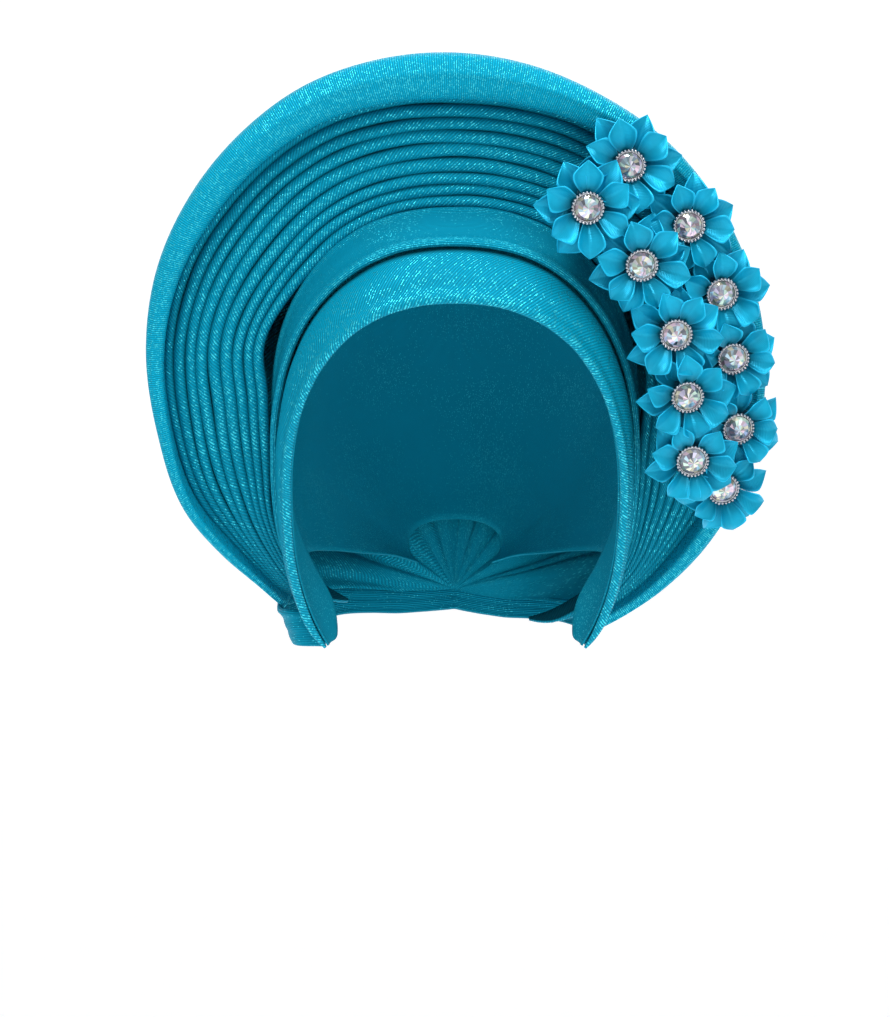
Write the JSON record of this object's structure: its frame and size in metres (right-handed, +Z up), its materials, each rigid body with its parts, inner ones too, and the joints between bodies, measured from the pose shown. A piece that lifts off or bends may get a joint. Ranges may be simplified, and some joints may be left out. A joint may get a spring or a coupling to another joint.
{
  "type": "head tie",
  "caption": "Pleated fan gele head tie in teal twill with a rolled rim, brow band, open head hollow and a side cluster of ribbon flowers with cut stones",
  "frame": {"origin": "the inside top of the cap, where the tie rests on the top of a head", "axes": "X across the wearer towards the flowers, Y from the face to the nape, Z up; mount head_seat points down into the hollow"},
  "size_m": [0.2634, 0.1939, 0.2467],
  "materials": {
    "cloth": "twill weave with a fine metallic thread, soft sheen",
    "sparkle_cloth": "twill weave with bright metallic sparkle",
    "satin": "smooth satin ribbon",
    "setting": "polished silver colour",
    "crystal": "faceted, coated to show several colours"
  },
  "bodies": {
    "root": {"cap": "cloth", "front_band": "sparkle_cloth", "crown_band": "cloth", "rim_roll": "sparkle_cloth", "back_wrap": "cloth", "tie_band": "cloth", "pleat_1": "cloth", "pleat_2": "cloth", "pleat_3": "cloth", "pleat_4": "cloth", "pleat_5": "cloth", "pleat_6": "cloth", "pleat_7": "cloth", "pleat_8": "cloth", "pleat_9": "cloth", "flower_01": "satin", "flower_02": "satin", "flower_03": "satin", "flower_04": "satin", "flower_05": "satin", "flower_06": "satin", "flower_07": "satin", "flower_08": "satin", "flower_09": "satin", "flower_10": "satin", "flower_11": "satin", "setting_01": "setting", "setting_02": "setting", "setting_03": "setting", "setting_04": "setting", "setting_05": "setting", "setting_06": "setting", "setting_07": "setting", "setting_08": "setting", "setting_09": "setting", "setting_10": "setting", "setting_11": "setting", "stone_01": "crystal", "stone_02": "crystal", "stone_03": "crystal", "stone_04": "crystal", "stone_05": "crystal", "stone_06": "crystal", "stone_07": "crystal", "stone_08": "crystal", "stone_09": "crystal", "stone_10": "crystal", "stone_11": "crystal"}
  },
  "joints": []
}
